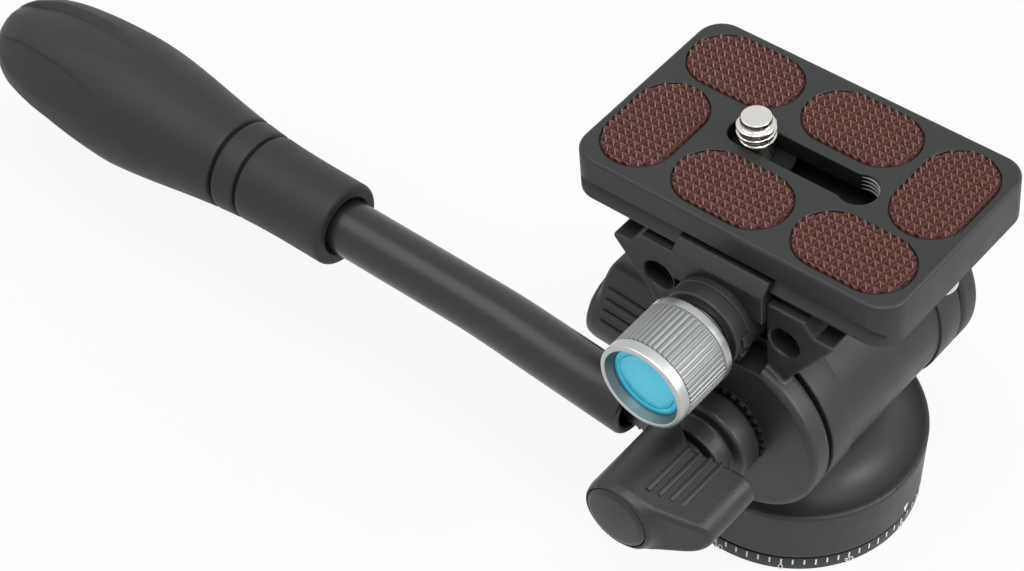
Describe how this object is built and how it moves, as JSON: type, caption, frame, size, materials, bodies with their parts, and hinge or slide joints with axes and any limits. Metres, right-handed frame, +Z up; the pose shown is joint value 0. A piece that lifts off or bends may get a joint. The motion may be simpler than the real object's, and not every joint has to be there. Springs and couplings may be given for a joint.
{
  "type": "fluid video head",
  "caption": "Compact fluid pan and tilt video head with a dovetail quick release clamp, a sliding camera plate with a screw, and a long pan handle on a toothed boss.",
  "frame": {"origin": "centre of the base's bottom face, at the mouth of the tripod socket", "axes": "+Z up along the pan axis, +X towards the lens end of the plate, +Y to the left, away from the clamp knob and the handle"},
  "size_m": [0.1817, 0.0728, 0.0773],
  "materials": {
    "black_paint": "satin black powder coat",
    "black_plastic": "matte moulded black",
    "grip_rubber": "soft moulded grip",
    "pad_rubber": "brown diamond-textured pads",
    "steel": "bright turned steel",
    "dark_steel": "blackened steel",
    "knob_alloy": "satin machined",
    "blue_disc": "glossy blue",
    "bronze": "turned bronze",
    "seal_rubber": "black seal",
    "nylon": "ivory nylon",
    "plate_alloy": "satin black"
  },
  "bodies": {
    "base": {"base_dial": "black_paint", "pan_spindle": "steel", "base_screws": "dark_steel", "pan_drag_washer": "nylon", "pan_washer": "steel", "pan_nut": "steel"},
    "pan_body": {"pan_housing": "black_paint", "pan_bush": "bronze", "front_tilt_bush": "bronze", "rear_tilt_bush": "bronze", "drag_cover": "black_paint", "drag_stator_discs": "steel", "axle_seals": "seal_rubber"},
    "pan_brake": {"pan_brake_shoe": "nylon"},
    "pan_lock": {"pan_lock_knob": "black_plastic", "pan_lock_cap": "black_plastic", "pan_lock_stud": "steel"},
    "tilt_body": {"yoke_frame": "black_paint", "front_cheek": "black_paint", "cheek_screws": "dark_steel", "tilt_axle": "steel", "drag_rotor_discs": "steel", "axle_screw": "steel", "rear_cap": "black_plastic", "rosette_ring": "black_paint", "jaw_spring": "steel"},
    "clamp_jaw": {"moving_jaw": "black_paint", "jaw_guide_pins": "steel"},
    "clamp_turn": {"clamp_knob": "knob_alloy", "clamp_knob_disc": "blue_disc", "clamp_screw": "steel"},
    "plate": {"quick_release_plate": "plate_alloy", "grip_pads": "pad_rubber", "stop_screws": "steel"},
    "screw_slider": {"screw_retainer": "black_plastic"},
    "screw": {"camera_screw": "steel"},
    "handle": {"handle_bracket": "black_paint", "handle_shaft": "black_paint", "shaft_set_screw": "dark_steel", "handle_grip": "grip_rubber", "grip_ring": "grip_rubber", "grip_collar": "grip_rubber"},
    "handle_lock": {"handle_lock_knob": "black_plastic", "handle_lock_cap": "black_plastic", "handle_lock_stud": "steel"}
  },
  "joints": [
    {"name": "pan", "type": "hinge", "parent": "base", "child": "pan_body", "pos_m": [0, 0, 0.01], "axis": [0, 0, 1], "continuous": true},
    {"name": "pan_lock_turn", "type": "hinge", "parent": "pan_body", "child": "pan_lock", "pos_m": [-0.03, 0, 0.0139], "axis": [1, 0, 0], "range_deg": [-60, 90]},
    {"name": "pan_brake_press", "type": "slide", "parent": "pan_body", "child": "pan_brake", "axis": [1, 0, 0], "range_m": [-0.00025, 0.0003]},
    {"name": "tilt", "type": "hinge", "parent": "pan_body", "child": "tilt_body", "pos_m": [0, 0, 0.0342], "axis": [0, 1, 0], "range_deg": [-45, 85]},
    {"name": "clamp_open", "type": "slide", "parent": "tilt_body", "child": "clamp_jaw", "axis": [0, -1, 0], "range_m": [0, 0.003]},
    {"name": "clamp_knob_turn", "type": "hinge", "parent": "clamp_jaw", "child": "clamp_turn", "pos_m": [-0.00374, -0.03, 0.05681], "axis": [0, -1, 0], "range_deg": [0, 1340]},
    {"name": "plate_slide", "type": "slide", "parent": "tilt_body", "child": "plate", "axis": [0.9962, 0, 0.0872], "range_m": [-0.0023, 0.0023]},
    {"name": "screw_slide", "type": "slide", "parent": "plate", "child": "screw_slider", "axis": [0.9962, 0, 0.0872], "range_m": [-0.0021, 0.0177]},
    {"name": "camera_screw_turn", "type": "hinge", "parent": "screw_slider", "child": "screw", "pos_m": [-0.013, 0, 0.07322], "axis": [-0.0872, 0, 0.9962], "continuous": true},
    {"name": "handle_angle", "type": "hinge", "parent": "tilt_body", "child": "handle", "pos_m": [0, 0, 0.0342], "axis": [0, 1, 0], "range_deg": [-60, 40]},
    {"name": "handle_lock_turn", "type": "hinge", "parent": "tilt_body", "child": "handle_lock", "pos_m": [0, 0, 0.0342], "axis": [0, 1, 0], "range_deg": [-90, 70]}
  ],
  "couplings": [
    {"joint": "pan_brake_press", "follows": "pan_lock_turn", "m_per_rad": 0.00015915}
  ]
}
